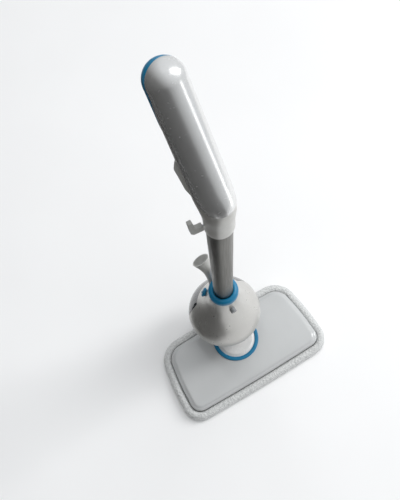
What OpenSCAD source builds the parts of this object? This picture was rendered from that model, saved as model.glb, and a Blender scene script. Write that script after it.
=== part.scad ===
// Upright steam mop: padded floor head, pear-shaped boiler body, tube and bent capsule handle.
// Millimetres. Origin on the floor under the middle of the mop pad, X along the head,
// Y towards the back (user's side), Z up.

/* [Head] */
// Width of the pad along its front edge
pad_front_w = 296; // [270:1:330]
// Width of the pad along its rear edge
pad_rear_w = 280; // [245:1:290]
// Front to back size of the pad
pad_depth = 156; // [150:1:180]
// Radius of the pad's front corners
front_corner_r = 34; // [24:1:42]
// Radius of the pad's rear corners
rear_corner_r = 44; // [30:1:50]
// Border of pad left showing round the cover
pad_border = 15; // [10:0.5:16]
// Outer radius of the coloured ring on the cover
ring_r = 42; // [38:0.5:46]

/* [Body] */
// Distance of the tube's axis behind the head's middle
axis_y = 57; // [50:0.5:60]
// Height of the body's widest level
belly_z = 108; // [104:1:116]
// Radius of the body at its widest level
belly_r = 63.5; // [58:0.5:70]
// Height of the blue collar at the top of the body
collar_z = 247; // [235:1:270]
// Outer radius of the blue collar
collar_r = 24; // [22:0.5:27]

/* [Tube and handle] */
// Outer radius of the tube at the body
tube_r = 15.8; // [15.4:0.1:16.6]
// Outer radius of the tube at the neck
tube_top_r = 19.2; // [17:0.1:19.4]
// Length of tube showing between collar and neck
tube_len = 328; // [260:1:460]
// Height of the straight neck
neck_len = 70; // [62:1:90]
// Length of the bent handle, from the bend to its top centre
handle_len = 190; // [175:1:240]
// Angle of the handle from the tube
handle_bend = 34.5; // [20:0.5:38]
// Radius of the handle
handle_r = 25.8; // [25:0.2:28]
// Turn of the upper cord hook from straight back
hook_turn = 84; // [60:1:95]
// Turn of the trigger from straight back
trigger_turn = 62; // [45:1:75]

/* [Hidden] */
$fn = 64;
wall = 2.4;
gap = 0.3;
screw_r = 1.5;
screw_head_r = 2.8;
screw_head_h = 1.6;
pin_gap = 0.06;

pad_sole = 7;
pad_rim_z = 18;
strip_t = 1.2;
base_z = pad_sole + strip_t;
base_t = 4;
cover_z = base_z + base_t;
cover_edge_z = 21;
cover_top_z = 26;
seal_depth = 0.8;
nozzle_r = 4.6;

ring_y = 20;
ring_band = 7;

tilt_y = 45;
tilt_z = 44;
tilt_pin_r = 4;
roll_z = 62;
roll_pin_r = 4;
lug_w = 8;
yoke_w = 22;

skirt_y = 46;
skirt_r = 40;
skirt_z = 50;
tank_y = axis_y + 24;
tank_top_z = 158;
tank_low_z = 80;
chassis_z = 78;
filler_z = 198;
filler_r = 6.5;

neck_z = collar_z + tube_len;
bend_z = neck_z + neck_len;
tube_bottom_z = collar_z - 62;
button_z = collar_z - 30;
button_r = 4.8;
tube_top_z = neck_z + 55;
tube_wall = 1.6;
neck_r = 21.4;
filler_turn = 42;
low_hook_turn = 10;
hook_lean = 30;

trigger_z = 64;
trigger_pin_z = 82;
hook_z = neck_z + 25;
hook_len = 17.5;
hook_pin_r = 4;
trigger_w = 12.8;
trigger_pin_r = 1.5;

// Rounded trapezoid slab drawn in from the pad's outline by inset, between two heights.
module head_slab(inset, z0, z1, grow = 0) {
    front_x = pad_front_w / 2 - front_corner_r;
    rear_x = pad_rear_w / 2 - rear_corner_r;
    front_y = pad_depth / 2 - front_corner_r;
    rear_y = pad_depth / 2 - rear_corner_r;
    hull() {
        for (side = [-1, 1]) {
            translate([side * front_x, -front_y, z0])
                cylinder(r1 = front_corner_r - inset, r2 = front_corner_r - inset + grow, h = z1 - z0);
            translate([side * rear_x, rear_y, z0])
                cylinder(r1 = rear_corner_r - inset, r2 = rear_corner_r - inset + grow, h = z1 - z0);
        }
    }
}

// Radius of the body's skin at a height: a ball below, drawn in to the collar above.
body_heights = [56, 62, 70, 80, 94, 108, 120, 132, 144, 156, 168, 180, 194, 210, 226, 241];
body_shares = [0.58, 0.68, 0.775, 0.87, 0.965, 1, 0.98, 0.925, 0.845, 0.755, 0.67, 0.595, 0.525, 0.455, 0.41, 0.385];

function body_points(inset) = [
    for (i = [0 : len(body_heights) - 1])
        [belly_r * body_shares[i] - inset, body_heights[i] + (belly_z - 108)]
];

// Solid of revolution filling the body's skin, drawn in by inset.
module body_solid(inset) {
    points = body_points(inset);
    translate([0, axis_y, 0])
        rotate_extrude($fn = 96)
            polygon(concat([[0, points[0][1]]], points, [[0, points[len(points) - 1][1]]]));
}

// Moves children into the handle's own frame: origin at the bend, Z along it, Y to its back.
module in_handle() {
    translate([0, axis_y, bend_z])
        rotate([-handle_bend, 0, 0])
            children();
}

// Turns children about the tube's axis, so that +Y points to a side.
module to_side(turn) {
    translate([0, axis_y, 0])
        rotate([0, 0, turn])
            children();
}

// Capsule filling the handle's skin, drawn in by inset, from a start height.
module handle_solid(inset, start) {
    translate([0, 0, start])
        cylinder(r = handle_r - inset, h = handle_len - start);
    translate([0, 0, handle_len])
        sphere(r = handle_r - inset);
}

// Half space on the front side of the handle's parting plane.
module handle_front_half(shift) {
    rotate([0, 0, 12])
        translate([-60, -120 + shift, -60])
            cube([120, 120, handle_len + 140]);
}

module rod(from, to, r) {
    run = to - from;
    flat = norm([run[0], run[1]]);
    translate(from)
        rotate([0, atan2(flat, run[2]), atan2(run[1], run[0])])
            cylinder(r = r, h = norm(run), $fn = 24);
}

module hose(points, r) {
    for (i = [0 : len(points) - 2])
        hull() {
            translate(points[i]) sphere(r = r, $fn = 16);
            translate(points[i + 1]) sphere(r = r, $fn = 16);
        }
}

// ---- Head ----

module mop_pad() {
    color("gainsboro") difference() {
        head_slab(0, 0, pad_rim_z);
        head_slab(pad_border - gap, pad_sole, pad_rim_z + 1);
    }
}

module hook_loop_strips() {
    color("dimgray")
        for (x = [-85, 0, 85])
            translate([x - 30, -42, pad_sole])
                cube([60, 60, strip_t]);
}

module head_base_plate() {
    vent_r = 2;
    color("white") difference() {
        head_slab(pad_border, base_z, cover_z);
        for (x = [-105 : 30 : 105])
            translate([x, -50, base_z - 1])
                cylinder(r = vent_r, h = base_t + 2);
        for (x = [-45 : 30 : 45])
            translate([x, 28, base_z - 1])
                cylinder(r = vent_r, h = base_t + 2);
        at_head_screws() {
            translate([0, 0, -1])
                cylinder(r = screw_head_r, h = 1 + screw_head_h);
            cylinder(r = screw_r, h = base_t + 1);
        }
    }
}

module steam_channel() {
    rail_z = cover_z;
    color("darkgray") difference() {
        union() {
            translate([-112, -56, rail_z])
                cube([224, 12, 5]);
            translate([-8, -46, rail_z])
                cube([16, 60, 5]);
        }
        translate([-109, -53.5, rail_z - 1])
            cube([218, 7, 4]);
        translate([-5, -50, rail_z - 1])
            cube([10, 60, 4]);
        translate([0, ring_y - 6, rail_z - 1])
            cylinder(r = 2, h = 10);
    }
}

module head_cover() {
    groove_z = cover_edge_z - 4;
    color("white") at_head_screws()
        translate([0, 0, base_t + gap])
            difference() {
                cylinder(r = 4, h = 7);
                translate([0, 0, -1])
                    cylinder(r = screw_r + 0.1, h = 7);
            }
    color("white") difference() {
        union() {
            head_slab(pad_border, cover_z, cover_edge_z, -0.5);
            hull() {
                head_slab(pad_border + 1, cover_edge_z - 0.5, cover_edge_z);
                head_slab(pad_border + 4, cover_top_z - 0.5, cover_top_z);
            }
        }
        head_slab(pad_border + wall, cover_z - 1, cover_edge_z - wall);
        translate([0, ring_y, cover_z])
            cylinder(r = ring_r - ring_band - 4, h = 30);
        translate([0, ring_y, cover_top_z - 2])
            cylinder(r = ring_r, h = 10);
        difference() {
            head_slab(pad_border - 2, groove_z, groove_z + 2);
            head_slab(pad_border + seal_depth, groove_z - 1, groove_z + 3);
        }
    }
}

module edge_seal() {
    groove_z = cover_edge_z - 4;
    color("slategray") difference() {
        head_slab(pad_border - 0.2, groove_z, groove_z + 2);
        head_slab(pad_border + seal_depth, groove_z - 1, groove_z + 3);
    }
}

module ring_trim() {
    color("steelblue") translate([0, ring_y, cover_top_z - 2])
        difference() {
            cylinder(r = ring_r, h = 4.5);
            translate([0, 0, -1])
                cylinder(r = ring_r - ring_band, h = 8);
        }
}

module turret() {
    lug_x = yoke_w / 2 + gap;
    base_r = ring_r - ring_band;
    color("white") difference() {
        union() {
            translate([0, ring_y, cover_z + 5 + gap])
                cylinder(r = base_r - 4, h = cover_top_z - cover_z - 5 - gap);
            translate([0, ring_y, cover_top_z - 2])
                cylinder(r = base_r, h = 2.5);
            translate([0, ring_y, cover_top_z + 0.5])
                cylinder(r1 = base_r, r2 = base_r - 5, h = 3);
            for (side = [-1, 1]) {
                translate([side * (lug_x + lug_w / 2) - lug_w / 2, tilt_y - 8, cover_top_z + gap])
                    cube([lug_w, 16, tilt_z - cover_top_z - gap]);
                translate([side * (lug_x + lug_w / 2) - lug_w / 2, tilt_y, tilt_z])
                    rotate([0, 90, 0])
                        cylinder(r = 8, h = lug_w);
            }
        }
        translate([-40, tilt_y, tilt_z])
            rotate([0, 90, 0])
                cylinder(r = tilt_pin_r, h = 80);
        translate([-lug_x, tilt_y - 12, cover_top_z + 3])
            cube([lug_x * 2, 40, 30]);
        translate([0, ring_y - 6, cover_z - 1])
            cylinder(r = nozzle_r, h = 30);
        translate([0, ring_y, cover_top_z - 2])
            difference() {
                cylinder(r = ring_r + 1, h = 4.5 + gap);
                translate([0, 0, -1])
                    cylinder(r = base_r, h = 8);
            }
    }
}

module tilt_pin() {
    pin_len = 2 * (yoke_w / 2 + gap + lug_w);
    color("silver") translate([-pin_len / 2, tilt_y, tilt_z])
        rotate([0, 90, 0])
            cylinder(r = tilt_pin_r, h = pin_len);
}

module steam_nozzle() {
    color("goldenrod") translate([0, ring_y - 6, cover_z + 5])
        difference() {
            union() {
                cylinder(r = nozzle_r, h = 14);
                translate([0, 0, 12])
                    cylinder(r = nozzle_r - 1.4, h = 8);
            }
            translate([0, 0, -1])
                cylinder(r = 2, h = 24);
        }
}

module at_head_screws() {
    for (x = [-110, 110])
        for (y = [-34, 20])
            translate([x, y, base_z])
                children();
}

module head_screws() {
    color("gray") at_head_screws() {
        cylinder(r = screw_head_r, h = screw_head_h);
        cylinder(r = screw_r, h = 9);
    }
}

// ---- Yoke ----

module yoke_block() {
    color("dimgray") difference() {
        union() {
            translate([-yoke_w / 2, tilt_y, tilt_z])
                rotate([0, 90, 0])
                    cylinder(r = 8.5, h = yoke_w);
            translate([-yoke_w / 2, tilt_y - 8.5, tilt_z])
                cube([yoke_w, 17, roll_z - tilt_z]);
            translate([0, tilt_y + 8.5, roll_z])
                rotate([90, 0, 0])
                    cylinder(r = yoke_w / 2, h = 17);
        }
        translate([-20, tilt_y, tilt_z])
            rotate([0, 90, 0])
                cylinder(r = tilt_pin_r + pin_gap, h = 40);
        translate([0, tilt_y + 20, roll_z])
            rotate([90, 0, 0])
                cylinder(r = roll_pin_r, h = 40);
    }
}

module roll_pin() {
    color("silver") translate([0, tilt_y + 19, roll_z])
        rotate([90, 0, 0])
            cylinder(r = roll_pin_r, h = 38);
}

// ---- Boiler body ----

module at_base_screws() {
    for (x = [-24, 24])
        for (y = [-24, 24])
            translate([x, skirt_y + y, skirt_z])
                children();
}

module base_skirt() {
    cheek = 8;
    roof_z = 74;
    cup_r = skirt_r - 8;
    color("white") difference() {
        union() {
            difference() {
                union() {
                    translate([0, skirt_y, skirt_z])
                        cylinder(r1 = skirt_r - 5, r2 = skirt_r, h = 10);
                    translate([0, skirt_y, skirt_z + 10])
                        cylinder(r = skirt_r, h = 4);
                    translate([0, skirt_y, skirt_z])
                        cylinder(r = cup_r, h = roof_z + 4 - skirt_z);
                }
                translate([0, skirt_y, skirt_z - 1])
                    cylinder(r = cup_r - wall, h = roof_z - skirt_z + 1);
            }
            for (side = [-1, 1])
                translate([-10, tilt_y + side * (8.5 + gap + cheek / 2) - cheek / 2, skirt_z + 2])
                    cube([20, cheek, roof_z - skirt_z]);
        }
        translate([0, tilt_y + 40, roll_z])
            rotate([90, 0, 0])
                cylinder(r = roll_pin_r + pin_gap, h = 80);
        translate([-16, 30, roof_z - 10])
            cylinder(r = 3.6, h = 20);
        at_base_screws() {
            translate([0, 0, -1])
                cylinder(r = screw_head_r, h = 1 + screw_head_h);
            cylinder(r = screw_r, h = 20);
        }
    }
}

module chassis_plate() {
    color("gray") difference() {
        translate([0, axis_y, chassis_z])
            cylinder(r = belly_r - 14, h = wall);
        translate([-90, tank_y - 2 * gap, chassis_z - 1])
            cube([180, 60, 10]);
        translate([-16, 30, chassis_z - 1])
            cylinder(r = 3.6, h = 5);
    }
}

module body_shell() {
    color("white") difference() {
        body_solid(0);
        body_solid(wall);
        translate([-90, tank_y - gap, tank_low_z])
            cube([180, 90, tank_top_z - tank_low_z]);
        translate([0, axis_y, collar_z - 30])
            cylinder(r = tube_r + 3, h = 60);
        translate([0, skirt_y, 40])
            cylinder(r = skirt_r + gap, h = skirt_z + 14 + gap - 40);
        translate([0, axis_y - 60, button_z])
            rotate([-90, 0, 0])
                cylinder(r = button_r + gap, h = 60);
        at_filler()
            translate([0, 0, -20])
                cylinder(r = filler_r + gap, h = 30);
    }
}

module water_tank() {
    color("slategray") difference() {
        intersection() {
            body_solid(0);
            translate([-90, tank_y, tank_low_z + gap])
                cube([180, 90, tank_top_z - tank_low_z - 2 * gap]);
        }
        intersection() {
            body_solid(wall);
            translate([-90, tank_y + wall, tank_low_z + gap + wall])
                cube([180, 90, tank_top_z - tank_low_z - 2 * gap - 2 * wall]);
        }
        translate([0, tank_y - 1, 92])
            rotate([-90, 0, 0])
                cylinder(r = 7, h = wall + 2);
        translate([-21, tank_y + 8, tank_top_z - 6])
            cylinder(r = 4, h = 10);
    }
}

module tank_grommet() {
    color("black") translate([0, tank_y - 4, 92])
        rotate([-90, 0, 0])
            difference() {
                cylinder(r = 7, h = 4 + wall + 2);
                translate([0, 0, -1])
                    cylinder(r = 3, h = 20);
            }
}

module at_filler() {
    to_side(filler_turn)
        translate([0, belly_r * 0.512, filler_z])
            rotate([-71, 0, 0])
                children();
}

module filler_cap() {
    color("steelblue") at_filler() {
        translate([0, 0, -3.5])
            cylinder(r = filler_r - gap, h = 4.5);
        translate([0, 0, 0.8])
            cylinder(r = filler_r + 1.6, h = 3);
        translate([-1.6, -filler_r, 2])
            cube([3.2, 2 * filler_r, 4]);
    }
}

module filler_neck() {
    color("lightgray") {
        difference() {
            at_filler()
                translate([0, 0, -6])
                    difference() {
                        cylinder(r = filler_r + 1, h = 5);
                        translate([0, 0, 1.5])
                            cylinder(r = filler_r, h = 12);
                    }
            body_trim();
        }
        hose([[-21, tank_y + 8, tank_top_z - 1], [-21, tank_y + 8, tank_top_z + 3],
            [-17, tank_y - 5, filler_z - 14]], 3.4);
    }
}

// Keeps inner pieces behind the body's skin.
module body_trim() {
    difference() {
        translate([-90, -30, 40])
            cube([180, 180, 240]);
        body_solid(wall);
    }
}

module collar_ring() {
    rim_r = collar_r + 0.9;
    color("steelblue") translate([0, axis_y, collar_z - 6])
        difference() {
            union() {
                cylinder(r = rim_r, h = 5);
                translate([0, 0, 5])
                    cylinder(r1 = rim_r, r2 = rim_r - 3, h = 4);
            }
            translate([0, 0, -1])
                cylinder(r = tube_r + 2.8, h = 14);
        }
}

module tube_socket() {
    color("lightgray") translate([0, axis_y, tube_bottom_z - 4])
        difference() {
            cylinder(r = tube_r + 2.8, h = collar_z + 2 - tube_bottom_z + 4);
            translate([0, 0, 4])
                cylinder(r = tube_r, h = 100);
            translate([0, 0, -1])
                cylinder(r = 9, h = 10);
            translate([0, -30, button_z - tube_bottom_z + 4])
                rotate([-90, 0, 0])
                    cylinder(r = button_r + gap, h = 30);
        }
}

module release_button() {
    color("gray") translate([0, axis_y - 34, button_z])
        rotate([-90, 0, 0])
            cylinder(r = button_r, h = 20);
}

module release_spring() {
    color("silver") translate([0, axis_y - 14, button_z])
        rotate([-90, 0, 0])
            difference() {
                cylinder(r = 3.6, h = 10);
                translate([0, 0, -1])
                    cylinder(r = 2.6, h = 14);
            }
}

module boiler() {
    color("silver") translate([0, 42, chassis_z + wall]) {
        difference() {
            cylinder(r = 21, h = 62);
            translate([0, 0, 3])
                cylinder(r = 17, h = 56);
        }
        translate([0, 0, 61.5])
            cylinder(r = 5, h = 5);
    }
}

module heating_element() {
    color("dimgray") translate([0, 42, 92])
        for (turn = [0 : 3])
            translate([0, 0, turn * 12])
                difference() {
                    cylinder(r = 23.5, h = 5);
                    translate([0, 0, -1])
                        cylinder(r = 21, h = 7);
                }
}

module thermostat() {
    color("beige") translate([0, 18.5, 116])
        rotate([90, 0, 0]) {
            cylinder(r = 8, h = 4);
            translate([-5, -1, 3])
                cube([2, 2, 5]);
            translate([3, -1, 3])
                cube([2, 2, 5]);
        }
}

module thermal_fuse() {
    color("white") translate([-12, 16, 100])
        rotate([0, 90, 0])
            cylinder(r = 2.4, h = 24);
}

module pump() {
    color("black") translate([38, 60, chassis_z + wall + 2]) {
        cylinder(r = 10.5, h = 34);
        translate([0, 0, 33.5])
            cylinder(r = 6, h = 10);
        translate([0, 0, 43])
            cylinder(r = 3, h = 8);
    }
}

module pump_mount() {
    color("dimgray") translate([38, 60, chassis_z + wall])
        difference() {
            cylinder(r = 12.5, h = 12);
            translate([0, 0, 2])
                cylinder(r = 10.5, h = 12);
        }
}

module intake_hose() {
    color("white")
        hose([[0, tank_y + 2, 92], [0, 71, 92], [24, 75, 96], [38, 73.5, 106]], 2.8);
}

module feed_hose() {
    color("white")
        hose([[38, 60, 136.4], [26, 54, 152], [9.4, 44.3, 155]], 2.8);
}

module check_valve() {
    color("goldenrod") translate([0, 42, 147.4])
        cylinder(r = 6.5, h = 13);
}

module steam_hose() {
    color("silver")
        rod([-16, 30, 54], [-16, 30, chassis_z + wall], 3.4);
}

module terminal_block() {
    color("beige") translate([-48, 48, 92])
        cube([18, 24, 30]);
}

module lower_hook() {
    color("white") difference() {
        translate([0, axis_y, 0])
            rotate([0, 0, low_hook_turn]) {
                rod([0, 26, 216], [0, 40, 294], 6);
                translate([0, 39.5, 292])
                    rotate([-62, 0, 0])
                        cylinder(r1 = 6, r2 = 13, h = 12);
            }
        body_solid(0);
        translate([0, axis_y, collar_z - 8])
            cylinder(r = collar_r + 1.2, h = 20);
    }
}

module body_screws() {
    color("gray") at_base_screws() {
        cylinder(r = screw_head_r, h = screw_head_h);
        cylinder(r = screw_r, h = 12);
    }
}

// ---- Tube ----

module main_tube() {
    grip = collar_z + 4;
    color("darkgray") translate([0, axis_y, 0])
        difference() {
            union() {
                translate([0, 0, tube_bottom_z])
                    cylinder(r = tube_r, h = grip - tube_bottom_z);
                translate([0, 0, grip])
                    cylinder(r1 = tube_r, r2 = tube_top_r, h = tube_top_z - grip);
            }
            translate([0, 0, tube_bottom_z - 1])
                cylinder(r = tube_r - tube_wall, h = tube_top_z - tube_bottom_z + 2);
            translate([0, -30, button_z])
                rotate([-90, 0, 0])
                    cylinder(r = button_r + gap, h = 30);
        }
}

module tube_wiring() {
    color("black")
        for (x = [-3, 3])
            translate([x, axis_y + 3, tube_bottom_z + 6])
                cylinder(r = 1.6, h = tube_top_z - tube_bottom_z + 10, $fn = 24);
}

// ---- Handle ----

module neck_collar() {
    color("white") difference() {
        union() {
            translate([0, axis_y, neck_z])
                cylinder(r1 = neck_r - 0.8, r2 = neck_r, h = 5);
            translate([0, axis_y, neck_z + 5])
                cylinder(r1 = neck_r, r2 = handle_r - 0.4, h = neck_len - 5);
            translate([0, axis_y, bend_z])
                sphere(r = handle_r - 0.4);
        }
        translate([0, axis_y, neck_z - 1])
            cylinder(r = tube_top_r, h = tube_top_z - neck_z + 1);
        translate([0, axis_y, tube_top_z - 1])
            cylinder(r = 16, h = neck_len);
        in_handle()
            translate([-60, -60, 0])
                cube([120, 120, 60]);
        in_handle()
            translate([0, 0, -20])
                cylinder(r = 20, h = 40);
        to_side(hook_turn)
            translate([0, 10, hook_z])
                rotate([-90, 0, 0])
                    cylinder(r = hook_pin_r + pin_gap, h = 20);
    }
}

module handle_front_shell() {
    color("white") in_handle()
        difference() {
            intersection() {
                handle_solid(0, 0);
                handle_front_half(0);
            }
            handle_solid(wall, -5);
        }
}

module handle_rear_shell() {
    color("whitesmoke") in_handle()
        difference() {
            handle_solid(0, 0);
            handle_solid(wall, -5);
            handle_front_half(0);
            rotate([0, 0, trigger_turn])
                translate([-trigger_w / 2 - 1, 10, trigger_z - 40])
                    cube([trigger_w + 2, 30, 68]);
            rotate([0, 0, -20])
                translate([0, 10, 26])
                    rotate([-90, 0, 0])
                        cylinder(r = 5.8, h = 30);
            at_handle_screws() {
                cylinder(r = screw_r, h = 40);
                translate([0, 0, 30.4])
                    cylinder(r = screw_head_r, h = 20);
            }
        }
}

module grip_inlay() {
    color("steelblue") in_handle()
        difference() {
            handle_solid(-0.6, 108);
            handle_solid(0, 100);
            handle_front_half(2);
        }
}

module trigger() {
    color("steelblue") in_handle()
        rotate([0, 0, trigger_turn])
            difference() {
                hull() {
                    translate([-trigger_w / 2, 16, trigger_pin_z])
                        rotate([0, 90, 0])
                            cylinder(r = 5, h = trigger_w, $fn = 32);
                    translate([-trigger_w / 2, handle_r + 1.9, trigger_z + 9])
                        rotate([0, 90, 0])
                            cylinder(r = 4, h = trigger_w, $fn = 32);
                    translate([-trigger_w / 2, handle_r, trigger_z - 24])
                        rotate([0, 90, 0])
                            cylinder(r = 3, h = trigger_w, $fn = 32);
                    translate([-trigger_w / 2, handle_r - 5, trigger_z - 34])
                        rotate([0, 90, 0])
                            cylinder(r = 3, h = trigger_w, $fn = 32);
                }
                translate([-10, 16, trigger_pin_z])
                    rotate([0, 90, 0])
                        cylinder(r = trigger_pin_r + pin_gap, h = 20);
            }
}

module trigger_pin() {
    color("silver") in_handle()
        rotate([0, 0, trigger_turn])
            translate([-9.8, 16, trigger_pin_z])
                rotate([0, 90, 0])
                    cylinder(r = trigger_pin_r, h = 19.6);
}

module pin_bracket() {
    color("gray") in_handle()
        rotate([0, 0, trigger_turn])
            difference() {
                for (side = [-1, 1])
                    translate([side * 8.8 - 1.2, 8, trigger_pin_z - 5])
                        cube([2.4, 11.4, 10]);
                translate([-20, 16, trigger_pin_z])
                    rotate([0, 90, 0])
                        cylinder(r = trigger_pin_r, h = 40);
            }
}

module trigger_spring() {
    color("silver") in_handle()
        rotate([0, 0, trigger_turn])
            translate([trigger_w / 2 + 0.4, 16, trigger_pin_z])
                rotate([0, 90, 0])
                    difference() {
                        cylinder(r = 3, h = 0.8);
                        translate([0, 0, -1])
                            cylinder(r = trigger_pin_r, h = 10);
                    }
}

module switch_unit() {
    color("black") in_handle()
        rotate([0, 0, trigger_turn])
            translate([-5, -5, trigger_z - 18])
                cube([10, 12, 20]);
}

module cord_gland() {
    color("black") in_handle()
        rotate([0, 0, -20])
            translate([0, handle_r - 5.4, 26])
                rotate([-90, 0, 0])
                    difference() {
                        union() {
                            cylinder(r = 5.8, h = 7);
                            translate([0, 0, 5.6])
                                cylinder(r = 7.5, h = 3);
                        }
                        translate([0, 0, -1])
                            cylinder(r = 3.2, h = 12);
                    }
}

module upper_hook() {
    arm_start = neck_r + 2.6;
    pin_start = tube_top_r + 0.4;
    color("white") to_side(hook_turn)
        translate([0, 0, hook_z])
            rotate([0, hook_lean, 0]) difference() {
                union() {
                    translate([0, pin_start, 0])
                        rotate([-90, 0, 0])
                            cylinder(r = hook_pin_r, h = arm_start - pin_start + 0.5);
                    translate([-5, arm_start, -5])
                        cube([10, hook_len, 8]);
                    translate([-5, arm_start + hook_len - 7, 0])
                        cube([10, 7, 14]);
                }
                translate([0, 18, 0])
                    rotate([-90, 0, 0])
                        cylinder(r = 1.5 + pin_gap, h = 60);
            }
}

module hook_screw() {
    color("gray") to_side(hook_turn)
        translate([0, tube_top_r + 0.6, hook_z])
            rotate([-90, 0, 0])
                cylinder(r = 1.5, h = 18);
}

module at_handle_screws() {
    for (z = [36, 112, handle_len - 20])
        rotate([0, 0, 12])
            translate([0, handle_r - 32.4, z])
                rotate([-90, 0, 0])
                    children();
}

module handle_screws() {
    color("gray") in_handle()
        at_handle_screws() {
            cylinder(r = screw_r, h = 31);
            translate([0, 0, 30.4])
                cylinder(r = screw_head_r, h = 1.4);
        }
}

mop_pad();
hook_loop_strips();
head_base_plate();
steam_channel();
head_cover();
edge_seal();
ring_trim();
turret();
tilt_pin();
steam_nozzle();
head_screws();
yoke_block();
roll_pin();
base_skirt();
chassis_plate();
body_shell();
water_tank();
tank_grommet();
filler_cap();
filler_neck();
collar_ring();
tube_socket();
release_button();
release_spring();
boiler();
heating_element();
thermostat();
thermal_fuse();
pump();
pump_mount();
intake_hose();
feed_hose();
check_valve();
steam_hose();
terminal_block();
lower_hook();
body_screws();
main_tube();
tube_wiring();
neck_collar();
handle_front_shell();
handle_rear_shell();
grip_inlay();
trigger();
trigger_pin();
pin_bracket();
trigger_spring();
switch_unit();
cord_gland();
upper_hook();
hook_screw();
handle_screws();
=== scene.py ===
# %% [markdown]
# # Upright steam mop
# The mop is a padded floor head, a pear-shaped boiler body on a cross joint, a satin metal tube
# and a bent capsule handle. Each cell below makes one real piece, or the finish of a few of them.

import math

import bmesh
import bpy
from mathutils import Matrix, Vector


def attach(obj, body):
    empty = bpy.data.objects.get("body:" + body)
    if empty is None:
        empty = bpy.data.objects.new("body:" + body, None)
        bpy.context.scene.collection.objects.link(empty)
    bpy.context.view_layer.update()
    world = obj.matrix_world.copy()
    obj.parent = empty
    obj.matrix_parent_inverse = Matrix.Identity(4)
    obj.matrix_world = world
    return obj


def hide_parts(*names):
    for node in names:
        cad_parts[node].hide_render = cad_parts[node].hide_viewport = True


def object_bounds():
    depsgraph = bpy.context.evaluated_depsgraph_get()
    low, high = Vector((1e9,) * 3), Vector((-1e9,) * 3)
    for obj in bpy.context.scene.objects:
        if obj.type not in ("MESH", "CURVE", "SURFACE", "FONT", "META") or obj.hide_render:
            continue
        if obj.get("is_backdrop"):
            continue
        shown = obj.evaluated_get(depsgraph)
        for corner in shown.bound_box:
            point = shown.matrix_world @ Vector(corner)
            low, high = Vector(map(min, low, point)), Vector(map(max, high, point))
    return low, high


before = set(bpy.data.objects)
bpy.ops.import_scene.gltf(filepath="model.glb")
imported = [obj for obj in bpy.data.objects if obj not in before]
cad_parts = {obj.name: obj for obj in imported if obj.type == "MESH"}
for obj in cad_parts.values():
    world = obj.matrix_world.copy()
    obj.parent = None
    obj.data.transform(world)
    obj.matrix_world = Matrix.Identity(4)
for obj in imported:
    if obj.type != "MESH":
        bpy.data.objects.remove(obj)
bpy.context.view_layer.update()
print("CAD nodes:", len(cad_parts))

# %% [markdown]
# ## Sizes
# The main sizes follow the solid parts, in metres, but the neck's skin is 0.2 mm thinner and the
# lower hook is turned 3 degrees further. The body's axis stands behind the middle of the head, and
# the handle leans back from the top of the neck.

# %% Sizes
MM = 0.001
AXIS_Y = 57 * MM
PAD_FRONT_W, PAD_REAR_W, PAD_DEPTH = 296 * MM, 280 * MM, 156 * MM
FRONT_CORNER, REAR_CORNER = 34 * MM, 44 * MM
PAD_BORDER = 15 * MM
RING_Y, RING_R, RING_BAND = 20 * MM, 42 * MM, 7 * MM
BELLY_R = 63.5 * MM
TANK_Y = AXIS_Y + 24 * MM
TANK_LOW, TANK_TOP = 80 * MM, 158 * MM
COLLAR_Z = 247 * MM
TUBE_R, TUBE_TOP_R = 15.8 * MM, 19.2 * MM
NECK_Z, NECK_LEN, NECK_R = 575 * MM, 70 * MM, 21.2 * MM
HANDLE_R, HANDLE_LEN = 25.8 * MM, 190 * MM
BEND = math.radians(34.5)
HOOK_TURN, TRIGGER_TURN = math.radians(84), math.radians(62)
FILLER_TURN, LOW_HOOK_TURN = math.radians(42), math.radians(13)
HOOK_LEAN = math.radians(30)
FILLER_Z, FILLER_Y, FILLER_TILT = 198 * MM, BELLY_R * 0.512, math.radians(-71)
BEND_POINT = Vector((0, AXIS_Y, NECK_Z + NECK_LEN))

# %% [markdown]
# ## Building helpers
# Three ways of making a moulding cover almost every piece: a profile turned round an axis, a
# stack of outlines skinned together, and a grid laid over a curved surface.

# %% Building helpers
def smooth_line(keys, steps):
    """Points of a smooth curve through the keys, with the given steps in each span."""
    keys = [Vector(k) for k in keys]
    padded = [2 * keys[0] - keys[1], *keys, 2 * keys[-1] - keys[-2]]
    line = []
    for a, b, c, d in zip(padded, padded[1:], padded[2:], padded[3:]):
        for i in range(steps):
            t = i / steps
            line.append(0.5 * (2 * b + (c - a) * t + (2 * a - 5 * b + 4 * c - d) * t**2
                               + (3 * b - a - 3 * c + d) * t**3))
    return line + [keys[-1]]


def turned(profile, steps=96):
    """A mesh of the (radius, height) profile spun round the Z axis."""
    bm = bmesh.new()
    verts = [bm.verts.new((p[0], 0, p[1])) for p in profile]
    edges = [bm.edges.new(pair) for pair in zip(verts, verts[1:])]
    bmesh.ops.spin(bm, geom=verts + edges, axis=(0, 0, 1), angle=2 * math.pi, steps=steps)
    bmesh.ops.remove_doubles(bm, verts=bm.verts, dist=1e-6)
    bmesh.ops.recalc_face_normals(bm, faces=bm.faces)
    return bm


def ring_section(middle_r, half_w, low, high, round_off, count=6):
    """A closed rounded rectangle for turning into a ring, as (radius, height) points."""
    corners = [(1, 0), (1, 1), (-1, 1), (-1, 0)]
    points = []
    for turn, (side, top) in enumerate(corners):
        centre_r = middle_r + side * (half_w - round_off)
        centre_z = high - round_off if top else low + round_off
        for i in range(count):
            a = math.radians(-90 + 90 * turn + 90 * i / (count - 1))
            points.append((centre_r + round_off * math.cos(a), centre_z + round_off * math.sin(a)))
    return points + points[:1]


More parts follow.
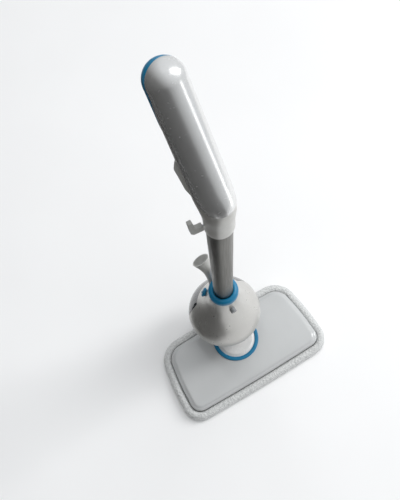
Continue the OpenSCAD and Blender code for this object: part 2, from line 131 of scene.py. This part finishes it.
def skinned(rings):
    """A closed mesh through rings of points, the same number in each, capped at both ends."""
    bm = bmesh.new()
    loops = []
    for ring in rings:
        verts = [bm.verts.new(p) for p in ring]
        loops.append([bm.edges.new(pair) for pair in zip(verts, verts[1:] + verts[:1])])
    for low, high in zip(loops, loops[1:]):
        bmesh.ops.bridge_loops(bm, edges=low + high)
    for end in (loops[0], loops[-1]):
        bmesh.ops.edgeloop_fill(bm, edges=end)
    bmesh.ops.recalc_face_normals(bm, faces=bm.faces)
    return bm


def draped(surface, across, along):
    """A grid laid on surface(u, v), with u and v from 0 to 1."""
    bm = bmesh.new()
    bmesh.ops.create_grid(bm, x_segments=across, y_segments=along, size=0.5)
    for v in bm.verts:
        v.co = surface(v.co.x + 0.5, v.co.y + 0.5)
    bmesh.ops.remove_doubles(bm, verts=bm.verts, dist=1e-6)
    return bm


def place(name, bm, material, body, stands_for=(), sharp=35, thick=0.0, bevel=0.0):
    """Makes the mesh an object with its finish, on its body, in place of its CAD nodes."""
    mesh = bpy.data.meshes.new(name)
    bm.to_mesh(mesh)
    bm.free()
    mesh.shade_smooth()
    mesh.set_sharp_from_angle(angle=math.radians(sharp))
    mesh.materials.append(material)
    obj = bpy.data.objects.new(name, mesh)
    bpy.context.scene.collection.objects.link(obj)
    if thick:
        wall = obj.modifiers.new("wall", "SOLIDIFY")
        wall.thickness, wall.offset = thick, -1
    if bevel:
        edge = obj.modifiers.new("edge", "BEVEL")
        edge.width, edge.segments, edge.limit_method = bevel, 3, "ANGLE"
        edge.angle_limit = math.radians(40)
        edge.harden_normals = True
    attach(obj, body)
    if stands_for:
        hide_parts(*stands_for)
    print(name, len(mesh.polygons), "faces")
    return obj


# %% [markdown]
# ## Moulded plastic finishes
# Injection-moulded ABS has a clear glossy skin over a slightly uneven flow surface, so a very
# weak, wide noise bends the reflections and a fine one breaks up the gloss.

# %% Plastic finishes
def nodes_of(name):
    material = bpy.data.materials.new(name)
    material.use_nodes = True
    tree = material.node_tree
    shader = tree.nodes["Principled BSDF"]
    return material, tree, shader


def add_noise(tree, scale, detail=3.0, stretch=(1, 1, 1)):
    """Noise over the piece's own coordinates; returns its value socket."""
    where = tree.nodes.new("ShaderNodeTexCoord")
    size = tree.nodes.new("ShaderNodeMapping")
    size.inputs["Scale"].default_value = stretch
    noise = tree.nodes.new("ShaderNodeTexNoise")
    noise.inputs["Scale"].default_value = scale
    noise.inputs["Detail"].default_value = detail
    tree.links.new(where.outputs["Object"], size.inputs["Vector"])
    tree.links.new(size.outputs["Vector"], noise.inputs["Vector"])
    return noise.outputs["Fac"]


def ramp(tree, value, low, high, stops=(0.3, 0.7)):
    """Blends two colours by a value."""
    node = tree.nodes.new("ShaderNodeValToRGB")
    for stop, colour, place_at in zip(node.color_ramp.elements, (low, high), stops):
        stop.color, stop.position = colour, place_at
    tree.links.new(value, node.inputs["Fac"])
    return node.outputs["Color"]


def add_bump(tree, shader, value, strength, distance):
    bump = tree.nodes.new("ShaderNodeBump")
    bump.inputs["Strength"].default_value = strength
    bump.inputs["Distance"].default_value = distance
    tree.links.new(value, bump.inputs["Height"])
    tree.links.new(bump.outputs["Normal"], shader.inputs["Normal"])


def grey(v):
    return (v, v, v, 1)


def plastic(name, colour, roughness, coat=0.0, wave=0.15):
    """Moulded plastic: faint colour drift, slightly uneven gloss and a wavy skin."""
    material, tree, shader = nodes_of(name)
    darker = tuple(0.94 * c for c in colour[:3]) + (1,)
    shade = ramp(tree, add_noise(tree, 14), darker, colour)
    gloss = ramp(tree, add_noise(tree, 160, 4), grey(roughness * 0.85), grey(roughness * 1.25))
    tree.links.new(shade, shader.inputs["Base Color"])
    tree.links.new(gloss, shader.inputs["Roughness"])
    shader.inputs["IOR"].default_value = 1.52
    shader.inputs["Coat Weight"].default_value = coat
    shader.inputs["Coat Roughness"].default_value = 0.04
    add_bump(tree, shader, add_noise(tree, 22, 1), wave, 0.0006)
    return material


body_pearl = plastic("body pearl plastic", (0.62, 0.61, 0.585, 1), 0.32, coat=0.12, wave=0.04)
body_pearl.node_tree.nodes["Principled BSDF"].inputs["Metallic"].default_value = 0.72
white_satin = plastic("white satin plastic", (0.48, 0.48, 0.46, 1), 0.34, coat=0.1, wave=0.05)
neck_satin = plastic("neck plastic", (0.60, 0.595, 0.57, 1), 0.34, coat=0.0, wave=0.04)
neck_satin.node_tree.nodes["Principled BSDF"].inputs["Metallic"].default_value = 0.5
plate_white = plastic("head cover plastic", (0.53, 0.54, 0.54, 1), 0.18, coat=0.4)
blue_gloss = plastic("blue plastic", (0.0, 0.18, 0.35, 1), 0.35, coat=0.0)
pearl = plastic("pearl white plastic", (0.74, 0.745, 0.74, 1), 0.22, coat=0.3, wave=0.04)
pearl.node_tree.nodes["Principled BSDF"].inputs["Metallic"].default_value = 0.72
# A lighter copy of the white plastic: painted light that lifts the turret and skirt out of the shadow the
# body casts on them.
hub_white_painted_light = plastic("hub plastic with painted light", (0.80, 0.80, 0.79, 1), 0.25, coat=0.2)
grey_plastic = plastic("grey plastic", (0.22, 0.23, 0.24, 1), 0.45)
dark_plastic = plastic("dark plastic", (0.02, 0.02, 0.022, 1), 0.5)
rubber = plastic("seal rubber", (0.05, 0.053, 0.058, 1), 0.7)
seal_grey = plastic("cover seal", (0.24, 0.24, 0.24, 1), 0.7)
hose = plastic("hose silicone", (0.6, 0.6, 0.58, 1), 0.5)
print("plastics made")

# %% [markdown]
# ## Metal and smoked tank finishes
# The tube is satin anodised aluminium, drawn lengthwise, so its grain is fine lines along its
# length. The tank is smoked clear plastic: dark, glossy and partly see-through.

# %% Metal and tank finishes
def metal(name, colour, roughness, grain=(1, 1, 1), scale=300):
    """Metal with a grain: noise drawn out along the stretched axis."""
    material, tree, shader = nodes_of(name)
    lines = add_noise(tree, scale, 4, grain)
    shade = ramp(tree, lines, tuple(0.93 * c for c in colour[:3]) + (1,), colour)
    gloss = ramp(tree, lines, grey(roughness * 0.8), grey(roughness * 1.3))
    tree.links.new(shade, shader.inputs["Base Color"])
    tree.links.new(gloss, shader.inputs["Roughness"])
    shader.inputs["Metallic"].default_value = 1.0
    add_bump(tree, shader, lines, 0.03, 0.00005)
    return material


# The tube's dark base colour is partly its own dark anodised tone and partly painted shade, standing in for
# the dark surroundings it reflects.
tube_metal_with_painted_shade = metal("tube aluminium with painted shade", (0.155, 0.15, 0.135, 1), 0.34, (1, 1, 0.02), 900)
steel = metal("steel", (0.60, 0.61, 0.63, 1), 0.25)
alloy = metal("boiler alloy", (0.62, 0.63, 0.64, 1), 0.5)
brass = metal("brass", (0.66, 0.46, 0.18, 1), 0.3)

tank_smoke, tree, shader = nodes_of("smoked tank")
drift = ramp(tree, add_noise(tree, 18), (0.030, 0.034, 0.040, 1), (0.050, 0.055, 0.062, 1))
tree.links.new(drift, shader.inputs["Base Color"])
shader.inputs["Roughness"].default_value = 0.08
shader.inputs["Alpha"].default_value = 0.86
shader.inputs["Coat Weight"].default_value = 0.5
add_bump(tree, shader, add_noise(tree, 22, 1), 0.1, 0.0005)
print("metals and tank made")

# %% [markdown]
# ## Finishes of the inner and small parts
# Screws, pins, the boiler and the pump keep their solid shapes, so each only needs its finish.

# %% Finishes of carried parts
# The turret and the skirt take the lighter hub white, which carries painted light against the body's shadow.
FINISH = {
    "hook_loop_strips": grey_plastic, "head_base_plate": white_satin,
    "steam_channel": grey_plastic, "edge_seal": seal_grey, "turret": hub_white_painted_light,
    "tilt_pin": steel, "steam_nozzle": brass, "head_screws": steel,
    "yoke_block": grey_plastic, "roll_pin": steel, "base_skirt": hub_white_painted_light,
    "chassis_plate": grey_plastic, "tank_grommet": rubber, "filler_neck": grey_plastic,
    "tube_socket": white_satin, "release_button": grey_plastic, "release_spring": steel,
    "boiler": alloy, "heating_element": steel, "thermostat": white_satin,
    "thermal_fuse": white_satin, "pump": dark_plastic, "pump_mount": rubber,
    "intake_hose": hose, "feed_hose": hose, "check_valve": brass, "steam_hose": hose,
    "terminal_block": white_satin, "body_screws": steel, "main_tube": tube_metal_with_painted_shade,
    "tube_wiring": rubber, "trigger_pin": steel, "pin_bracket": grey_plastic,
    "trigger_spring": steel, "switch_unit": dark_plastic, "cord_gland": rubber,
    "hook_screw": steel, "handle_screws": steel,
}
for node, finish in FINISH.items():
    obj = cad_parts[node]
    obj.data.materials.clear()
    obj.data.materials.append(finish)
print(len(FINISH), "carried parts finished")

# %% [markdown]
# ## Outline of the head
# Seen from above the head is a rounded trapezoid: tight corners at the wide front edge, broad
# corners at the back. One function gives the outline at any inset, always with the same number
# of points, so that rings at different heights skin together cleanly.

# %% Head outline
CORNERS = [
    (PAD_FRONT_W / 2 - FRONT_CORNER, -(PAD_DEPTH / 2 - FRONT_CORNER), FRONT_CORNER),
    (PAD_REAR_W / 2 - REAR_CORNER, PAD_DEPTH / 2 - REAR_CORNER, REAR_CORNER),
]
CORNERS += [(-x, y, r) for x, y, r in reversed(CORNERS)]


def side_angle(a, b):
    """Direction square to the straight side that joins two corner arcs."""
    dx, dy, gap = b[0] - a[0], b[1] - a[1], a[2] - b[2]
    return math.atan2(dy, dx) - math.pi / 2 + math.asin(gap / math.hypot(dx, dy))


def head_outline(inset, z, arc_steps=12, side_steps=14, bow=0.0016):
    """Ring of points round the head, drawn in by inset, with gently bowed sides."""
    ring = []
    for i, corner in enumerate(CORNERS):
        x, y, r = corner
        start = side_angle(CORNERS[i - 1], corner)
        turn = (side_angle(corner, CORNERS[(i + 1) % 4]) - start) % (2 * math.pi)
        arc = [start + turn * k / arc_steps for k in range(arc_steps + 1)]
        arc = [Vector((x + (r - inset) * math.cos(a), y + (r - inset) * math.sin(a), z)) for a in arc]
        if ring:
            ring += straight(ring[-1], arc[0], side_steps, bow)
        ring += arc
    return ring + straight(ring[-1], ring[0], side_steps, bow)


def straight(a, b, steps, bow):
    """Points between two corners, pushed out in the middle by bow."""
    out = Vector((b.y - a.y, a.x - b.x, 0)).normalized()
    return [a.lerp(b, k / steps) + out * bow * math.sin(math.pi * k / steps) for k in range(1, steps)]


print("outline points:", len(head_outline(0, 0)))

# %% [markdown]
# ## Mop pad
# The pad is looped microfibre over thin foam. Only its thick, rounded border shows, standing
# round the cover like a bolster, so the border is a soft roll and the middle is a flat pocket.
# Its pile is many small loops, which a fine cell pattern raises as bumps.

# %% Mop pad
pad_layers = [(9, 0), (3, 0.4), (0.8, 2.5), (0, 6.5), (0.3, 11), (1.8, 15), (4.8, 17.6), (8, 18.2),
              (11.4, 17.4), (13.8, 15), (14.6, 11), (14.7, 7.2)]
pad_bm = skinned([head_outline(i * MM, z * MM) for i, z in pad_layers])

microfibre, tree, shader = nodes_of("looped microfibre")
where = tree.nodes.new("ShaderNodeTexCoord")
loops = tree.nodes.new("ShaderNodeTexVoronoi")
loops.inputs["Scale"].default_value = 330
tree.links.new(where.outputs["Object"], loops.inputs["Vector"])
tint = ramp(tree, loops.outputs["Distance"], (0.74, 0.75, 0.74, 1), (0.56, 0.57, 0.565, 1), (0.1, 0.8))
tree.links.new(tint, shader.inputs["Base Color"])
shader.inputs["Roughness"].default_value = 0.95
shader.inputs["Sheen Weight"].default_value = 0.4
shader.inputs["Sheen Roughness"].default_value = 0.5
add_bump(tree, shader, loops.outputs["Distance"], 0.9, -0.0016)

pad = place("pad_cloth", pad_bm, microfibre, "head", ["mop_pad"], sharp=60)

# %% [markdown]
# ## Head cover
# A glossy lid with a chamfered edge. A shallow step follows its rim, so that the lid reads as a
# moulding and not a slab.

# %% Head cover
cover_layers = [(0, 12.4), (0, 19), (0.3, 20.4), (1.1, 21.6), (2.4, 22.5), (3.6, 22.9),
                (4.6, 23.3), (5.6, 24.2), (6.8, 25.1), (8.4, 25.7), (11, 26)]
place("cover_lid", skinned([head_outline(PAD_BORDER + i * MM, z * MM) for i, z in cover_layers]), plate_white,
      "head", ["head_cover"], sharp=50)

# %% [markdown]
# ## Blue ring on the cover
# A narrow band pressed into the cover round the joint, with rounded edges.

# %% Cover ring
ring_bm = turned(ring_section(RING_R - RING_BAND / 2, RING_BAND / 2, 24 * MM, 28.4 * MM, 1.6 * MM), 128)
bmesh.ops.translate(ring_bm, verts=ring_bm.verts, vec=(0, RING_Y, 0))
place("joint_ring", ring_bm, blue_gloss, "head", ["ring_trim"], sharp=80)

# %% [markdown]
# ## Boiler body
# The body is one smooth pear. Its skin is turned from a profile, then the tank's window is cut out
# of the back with straight cuts, so that shell and tank share one surface with a fine gap between.

# %% Body skin
BODY_KEYS = [(36.8, 56), (43.2, 62), (49.2, 70), (55.2, 80), (61.3, 94), (63.5, 108), (62.2, 120),
             (58.7, 132), (53.7, 144), (47.9, 156), (42.5, 168), (37.8, 180), (33.3, 194),
             (28.9, 210), (26, 226), (24.4, 241)]
body_profile = smooth_line([(r * MM, z * MM) for r, z in BODY_KEYS], 5)


def body_skin():
    bm = turned(body_profile, 160)
    bmesh.ops.translate(bm, verts=bm.verts, vec=(0, AXIS_Y, 0))
    return bm


def cut(bm, point, normal):
    """Splits the faces along a plane, without removing any."""
    geom = bm.verts[:] + bm.edges[:] + bm.faces[:]
    bmesh.ops.bisect_plane(bm, geom=geom, plane_co=point, plane_no=normal)


def keep_where(bm, test):
    """Removes the faces whose middle fails the test."""
    gone = [f for f in bm.faces if not test(f.calc_center_median())]
    bmesh.ops.delete(bm, geom=gone, context="FACES")


def in_window(p, gap):
    return p.y > TANK_Y - gap and TANK_LOW - gap < p.z < TANK_TOP + gap


for name, gap, finish, keep, nodes in (
    ("shell_skin", 0.35 * MM, body_pearl, False, ["body_shell"]),
    ("tank_skin", -0.35 * MM, tank_smoke, True, ["water_tank"]),
):
    bm = body_skin()
    cut(bm, (0, TANK_Y - gap, 0), (0, 1, 0))
    cut(bm, (0, 0, TANK_LOW - gap), (0, 0, 1))
    cut(bm, (0, 0, TANK_TOP + gap), (0, 0, 1))
    keep_where(bm, lambda p: in_window(p, gap) == keep)
    place(name, bm, finish, "body", nodes, thick=2.4 * MM, bevel=0.5 * MM)

# %% [markdown]
# ## Collar ring
# The bulky blue ring at the top of the body, rounded over at its upper edge.

# %% Collar ring
lip = TUBE_R + 0.5 * MM
collar_keys = [(18.9, -6), (18.9, 4.3), (lip / MM, 4.3), (lip / MM, 6.4), (17.6, 7), (20, 6.8), (22.4, 5.6),
               (24.2, 3.2), (24.9, 0), (24.9, -6), (18.9, -6)]
collar_bm = turned([(r * MM, COLLAR_Z + z * MM) for r, z in collar_keys], 96)
bmesh.ops.translate(collar_bm, verts=collar_bm.verts, vec=(0, AXIS_Y, 0))
place("collar_trim", collar_bm, blue_gloss, "body", ["collar_ring"], sharp=80)

# %% [markdown]
# ## Handle path
# Neck and grip are one bent run. Its middle line goes straight up the neck and turns back through
# a short arc at the bend. Any point of the skin is found from the distance along that line, the
# angle round it (0 is the front) and how far it stands off the skin.

# %% Handle path
BEND_SPAN = 18 * MM
TOTAL = NECK_LEN + HANDLE_LEN


def lean_at(s):
    """Lean of the middle line at a distance from the neck's lower end."""
    t = (s - (NECK_LEN - BEND_SPAN)) / (2 * BEND_SPAN)
    t = min(1, max(0, t))
    return BEND * t * t * (3 - 2 * t)


STEP = 0.5 * MM
line = [Vector((0, AXIS_Y, NECK_Z))]
while len(line) * STEP < TOTAL + 40 * MM:
    lean = lean_at(len(line) * STEP)
    line.append(line[-1] + STEP * Vector((0, math.sin(lean), math.cos(lean))))


def radius_at(s):
    """Neck radius growing to the grip's, then a rounded top."""
    if s > TOTAL:
        return math.sqrt(max(0, HANDLE_R**2 - (s - TOTAL) ** 2))
    grow = min(1, max(0, (s - 24 * MM) / (76 * MM)))
    return NECK_R + (HANDLE_R - NECK_R) * grow * grow * (3 - 2 * grow)


def on_handle(s, angle, off=0.0):
    """Point at distance s along the handle and angle round it, off the skin by off."""
    s = min(s, TOTAL + HANDLE_R)
    i = min(int(s / STEP), len(line) - 2)
    middle = line[i].lerp(line[i + 1], s / STEP - i)
    lean = lean_at(s)
    back = Vector((0, math.cos(lean), -math.sin(lean)))
    up = Vector((0, math.sin(lean), math.cos(lean)))
    r = radius_at(s)
    out = Vector((math.sin(angle), 0, 0)) - back * math.cos(angle)
    rise = max(0, s - TOTAL) / HANDLE_R
    return middle + out * (r + off * math.sqrt(1 - rise**2)) + up * off * rise


print("top of handle:", round(on_handle(TOTAL + HANDLE_R, 0).z * 1000), "mm")

# %% [markdown]
# ## Handle shells
# The front shell is one long glossy moulding that runs from a rounded tongue on the neck, over
# the bend, to the rounded top. The rear shell closes the back, and the blue inlay lies over it
# from the middle of the grip round the top, meeting the front shell at the parting line.

# %% Handle shells
PARTING = math.radians(12)


def dome_spaced(v, start):
    """Spreads v from the start to the top, closer together over the rounded top."""
    end = TOTAL + HANDLE_R
    if v < 0.7:
        return start + (TOTAL - start) * v / 0.7
    return TOTAL + HANDLE_R * math.sin((v - 0.7) / 0.3 * math.pi / 2) if v < 1 else end


def front_skin(u, v):
    side = 2 * u - 1
    angle = math.radians(90) * side + PARTING
    start = NECK_LEN + 2 * MM + 34 * MM * (1 - math.sqrt(max(0, 1 - abs(side) ** 3)))
    return on_handle(dome_spaced(v, start), angle, 0.5 * MM)


def rear_skin(u, v):
    angle = math.radians(91 + 178 * u) + PARTING
    return on_handle(dome_spaced(v, NECK_LEN + 6 * MM), angle, 0.0)


def inlay_skin(u, v):
    start = NECK_LEN + 108 * MM
    s = dome_spaced(v, start)
    along = (s - start) / (TOTAL + HANDLE_R - start)
    spread = math.radians(34 + 53 * min(1, along / 0.62) ** 0.7)
    angle = math.radians(180) + spread * (2 * u - 1) + PARTING
    return on_handle(s, angle, 0.6 * MM)


place("grip_front", draped(front_skin, 56, 90), pearl, "body", ["handle_front_shell"],
      thick=2.2 * MM, bevel=0.6 * MM)
place("grip_rear", draped(rear_skin, 48, 80), white_satin, "body", ["handle_rear_shell"],
      thick=2 * MM, bevel=0.4 * MM)
place("grip_blue", draped(inlay_skin, 48, 80), blue_gloss, "body", ["grip_inlay"],
      thick=1.4 * MM, bevel=0.5 * MM)

# %% [markdown]
# ## Neck
# A tapered sleeve that grips the tube. Its foot is chamfered and open, with a visible wall.

# %% Neck
neck_rows = [(-0.6, 0), (-0.2, 1.2), (0, 3)] + [(0, 3 + 11.5 * k) for k in range(1, 12)]
turns = [2 * math.pi * k / 72 for k in range(72)]
neck_rings = [[on_handle(s * MM, a, off * MM) for a in turns] for off, s in neck_rows]
bore_rings = [[on_handle(s * MM, a, (TUBE_TOP_R + 0.1 * MM) - radius_at(s * MM)) for a in turns]
              for s in (130, 60, 0)]
neck_bm = bmesh.new()
loops_made = []
for ring in neck_rings + bore_rings:
    verts = [neck_bm.verts.new(p) for p in ring]
    loops_made.append([neck_bm.edges.new(pair) for pair in zip(verts, verts[1:] + verts[:1])])
for low, high in zip(loops_made, loops_made[1:] + loops_made[:1]):
    bmesh.ops.bridge_loops(neck_bm, edges=low + high)
bmesh.ops.recalc_face_normals(neck_bm, faces=neck_bm.faces)
place("neck_sleeve", neck_bm, neck_satin, "body", ["neck_collar"], sharp=50)

# %% [markdown]
# ## Hooks, cap and trigger
# The upper cord hook is an L that turns on a screw; the lower one is a post that flares like a
# trumpet. The trigger is a curved lever. Prisms cut from a side outline make the flat ones.

# %% Side prisms
def drawn_in(outline, by):
    """The closed outline moved inwards by a distance, point by point."""
    area = sum(a.x * b.y - b.x * a.y for a, b in zip(outline, outline[1:] + outline[:1]))
    moved = []
    for i, p in enumerate(outline):
        run = (outline[(i + 1) % len(outline)] - outline[i - 1]).normalized()
        moved.append(p + math.copysign(by, area) * Vector((-run.y, run.x)))
    return moved


def prism(outline, width, round_off):
    """A side outline in the Y-Z plane given width along X, with its rims rounded over."""
    rings = []
    for k in range(5):
        a = math.radians(90 * k / 4)
        rings.append((-width / 2 + round_off * (1 - math.sin(a)), round_off * (1 - math.cos(a))))
    rings = rings[::-1] + [(-x, by) for x, by in rings]
    return skinned([[(x, p.x, p.y) for p in drawn_in(outline, by)] for x, by in rings])


def corner_rounded(points, r, steps=5):
    """Replaces each corner of a closed outline with a small curve."""
    out = []
    for i, p in enumerate(points):
        p = Vector(p)
        a = p + (Vector(points[i - 1]) - p).normalized() * r
        b = p + (Vector(points[(i + 1) % len(points)]) - p).normalized() * r
        for k in range(steps + 1):
            t = k / steps
            out.append(a * (1 - t) ** 2 + p * 2 * t * (1 - t) + b * t**2)
    return out


def to_side(turn):
    """Turns about the body's axis, from straight back towards the left."""
    return Matrix.Translation((0, AXIS_Y, 0)) @ Matrix.Rotation(turn, 4, "Z")


in_handle = Matrix.Translation(BEND_POINT) @ Matrix.Rotation(-BEND, 4, "X")

HOOK_Z = NECK_Z + 25 * MM
hook_out = [(23.2, -5), (38, -5), (41.4, -2), (41.4, 14), (34.6, 14), (34.6, 4.6), (32.4, 3), (23.2, 3)]
hook_bm = prism(corner_rounded([(y * MM, z * MM) for y, z in hook_out], 1.6 * MM), 9.6 * MM, 0.7 * MM)
lean = Matrix.Translation((0, 0, HOOK_Z)) @ Matrix.Rotation(HOOK_LEAN, 4, "Y")
bmesh.ops.transform(hook_bm, matrix=to_side(HOOK_TURN) @ lean, verts=hook_bm.verts)
place("cord_hook_top", hook_bm, white_satin, "hook", ["upper_hook"], sharp=50)

lever = [(11.5, 84), (15, 88.6), (22, 86), (29, 79.6), (31.8, 73), (31, 66),
         (28.8, 40), (25, 28), (20, 27.4), (17, 62)]
lever_bm = prism(corner_rounded([(y * MM, z * MM) for y, z in lever], 2 * MM), 12.6 * MM, 1.2 * MM)
turn_side = Matrix.Rotation(TRIGGER_TURN, 4, "Z")
bmesh.ops.transform(lever_bm, matrix=in_handle @ turn_side, verts=lever_bm.verts)
place("trigger_lever", lever_bm, white_satin, "trigger", ["trigger"], sharp=50)

# %% [markdown]
# The lower hook is swept: rings along a smooth line, growing to a flared, hollow mouth.

# %% Lower hook
post = smooth_line([(0, 24, 214), (0, 29, 240), (0, 34.5, 266), (0, 41, 287), (0, 51, 297)], 6)
girths = smooth_line([(7, 0, 0), (5.8, 0, 0), (6.6, 0, 0), (10, 0, 0), (14.6, 0, 0)], 6)
turn_low = to_side(LOW_HOOK_TURN)
post_rings = []
for i, point in enumerate(post):
    ahead = (post[min(i + 1, len(post) - 1)] - post[max(i - 1, 0)]).normalized()
    across = Vector((1, 0, 0))
    third = ahead.cross(across)
    girth = girths[i].x * MM
    post_rings.append([turn_low @ (point * MM + girth * (math.cos(a) * across + math.sin(a) * third))
                       for a in turns[::2]])
lip = [p.copy() for p in post_rings[-1]]
middle = sum(lip, Vector()) / len(lip)
deep = turn_low @ (post[-4] * MM)
post_rings.append([middle.lerp(p, 0.86) for p in lip])
post_rings.append([deep.lerp(p, 0.45) for p in lip])
place("cord_hook_low", skinned(post_rings), white_satin, "body", ["lower_hook"], sharp=50)

# %% [markdown]
# The filler cap is turned from a profile, with a raised grip bar across its top.

# %% Filler cap
cap_profile = [(0, -3.5), (6.2, -3.5), (6.2, 0.8), (7.2, 0.8), (8, 1.4), (8.1, 2.8),
               (7.6, 4), (6.2, 4.8), (0, 5.2)]
cap_bm = turned([(r * MM, z * MM) for r, z in cap_profile], 48)
grip = bmesh.ops.create_cube(cap_bm, size=1, matrix=Matrix.Translation((0, 0, 4.6 * MM))
                             @ Matrix.Diagonal((3 * MM, 11.4 * MM, 2.6 * MM, 1)))
grip_edges = list({e for v in grip["verts"] for e in v.link_edges})
bmesh.ops.bevel(cap_bm, geom=grip_edges, offset=0.7 * MM, segments=3, profile=0.5,
                affect="EDGES", material=-1)
seat = Matrix.Translation((0, FILLER_Y, FILLER_Z)) @ Matrix.Rotation(FILLER_TILT, 4, "X")
at_filler = to_side(FILLER_TURN) @ seat
bmesh.ops.transform(cap_bm, matrix=at_filler, verts=cap_bm.verts)
place("water_cap", cap_bm, blue_gloss, "cap", ["filler_cap"], sharp=40)

# %% [markdown]
# ## Floor, light and camera
# A pale floor under the mop, broad soft lights from the right and above, and a dim one from the
# left, so that the glossy skins carry a bright side and a grey side.

# %% Floor
bpy.ops.mesh.primitive_plane_add(size=2.4, location=(0, 0, -0.0005))
floor = bpy.context.object
floor.name = "floor"
floor_paint, tree, shader = nodes_of("floor paint")
pale = ramp(tree, add_noise(tree, 3), (0.90, 0.90, 0.90, 1), (0.93, 0.93, 0.93, 1))
tree.links.new(pale, shader.inputs["Base Color"])
shader.inputs["Roughness"].default_value = 1.0
shader.inputs["Specular IOR Level"].default_value = 0.0
floor.data.materials.append(floor_paint)
floor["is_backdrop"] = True

# %% [markdown]
# The key light and the pale side of the sky stand to the right. Black flags that only reflections
# see stand to the left and low in front, which gives the glossy skins their grey side.

# %% Lights
def soft_light(name, size, power, location, target, mirrored=True):
    data = bpy.data.lights.new(name, "AREA")
    data.shape, data.size, data.size_y = "RECTANGLE", size[0], size[1]
    data.energy = power
    obj = bpy.data.objects.new(name, data)
    obj.location = location
    obj.rotation_euler = (Vector(target) - Vector(location)).to_track_quat("-Z", "Y").to_euler()
    obj.visible_glossy = mirrored
    bpy.context.scene.collection.objects.link(obj)


soft_light("key", (0.7, 1.8), 31, (1.9, -0.1, 1.9), (0, 0, 0.3))
soft_light("top", (0.9, 0.9), 16, (0.3, 0.6, 2.7), (0, 0, 0.2), mirrored=False)
soft_light("streak", (0.20, 0.9), 0.8, (0.9, -0.62, 0.35), (0, 0.15, 0.75))
soft_light("fill", (1.2, 1.2), 2.5, (-1.6, -1.0, 2.0), (0, 0, 0.3), mirrored=False)


def dark_card(name, corners):
    """A black flag that only reflections see: it puts the grey side on the glossy skins."""
    bm = bmesh.new()
    bm.faces.new([bm.verts.new(c) for c in corners])
    mesh = bpy.data.meshes.new(name)
    bm.to_mesh(mesh)
    bm.free()
    mesh.materials.append(card_black)
    obj = bpy.data.objects.new(name, mesh)
    bpy.context.scene.collection.objects.link(obj)
    obj.visible_camera = obj.visible_diffuse = obj.visible_shadow = False
    obj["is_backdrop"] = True


card_black, tree, shader = nodes_of("black card")
felt = ramp(tree, add_noise(tree, 4), (0.012, 0.011, 0.010, 1), (0.03, 0.027, 0.024, 1))
tree.links.new(felt, shader.inputs["Base Color"])
shader.inputs["Roughness"].default_value = 1.0
dark_card("card_left", [(-0.8, -1.1, 0.02), (-0.8, 0.9, 0.02), (-1.1, 0.9, 1.5), (-1.1, -1.1, 1.5)])
dark_card("card_front", [(-0.8, -0.9, 0.02), (-0.34, -0.9, 0.02), (-0.34, -1.2, 1.2), (-1.1, -1.2, 1.2)])
dark_card("card_front_low", [(-0.34, -0.9, 0.02), (0.30, -0.9, 0.02), (0.24, -1.0, 0.5), (-0.34, -1.2, 1.0)])
dark_card("card_low", [(-0.8, -0.9, 0.004), (-0.17, -0.6, 0.004), (-0.12, 1.0, 0.004), (-0.8, 1.0, 0.004)])
world = bpy.data.worlds.new("studio")
world.use_nodes = True
tree = world.node_tree
sky = tree.nodes.new("ShaderNodeTexCoord")
split = tree.nodes.new("ShaderNodeVectorMath")
split.operation = "DOT_PRODUCT"
split.inputs[1].default_value = (0.80, 0.10, 0.45)
tree.links.new(sky.outputs["Generated"], split.inputs[0])
spread = tree.nodes.new("ShaderNodeMapRange")
spread.inputs["From Min"].default_value, spread.inputs["From Max"].default_value = -0.5, 0.6
tree.links.new(split.outputs["Value"], spread.inputs["Value"])
sides = ramp(tree, spread.outputs["Result"], (0.05, 0.046, 0.042, 1), (0.80, 0.82, 0.84, 1), (0.1, 0.9))
tree.links.new(sides, tree.nodes["Background"].inputs["Color"])
tree.nodes["Background"].inputs["Strength"].default_value = 0.9
bpy.context.scene.world = world
bpy.context.scene.view_settings.view_transform = "Standard"

# %% [markdown]
# The camera looks steeply down from in front, slightly to the left and a little turned.

# %% Camera
eye, aim = Vector((-0.189, -0.301, 1.742)), Vector((0.009, 0.150, 0.200))
lens_data = bpy.data.cameras.new("camera")
lens_data.lens, lens_data.sensor_width = 68.2, 36
camera = bpy.data.objects.new("camera", lens_data)
bpy.context.scene.collection.objects.link(camera)
facing = (aim - eye).to_track_quat("-Z", "Y").to_matrix().to_4x4()
camera.matrix_world = Matrix.Translation(eye) @ facing @ Matrix.Rotation(-0.13, 4, "Z")
bpy.context.scene.camera = camera

# %% [markdown]
# ## Sizes
# The size of the finished pieces.

# %% Sizes
low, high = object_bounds()
print("visual size in millimetres:", [round((b - a) * 1000, 1) for a, b in zip(low, high)])
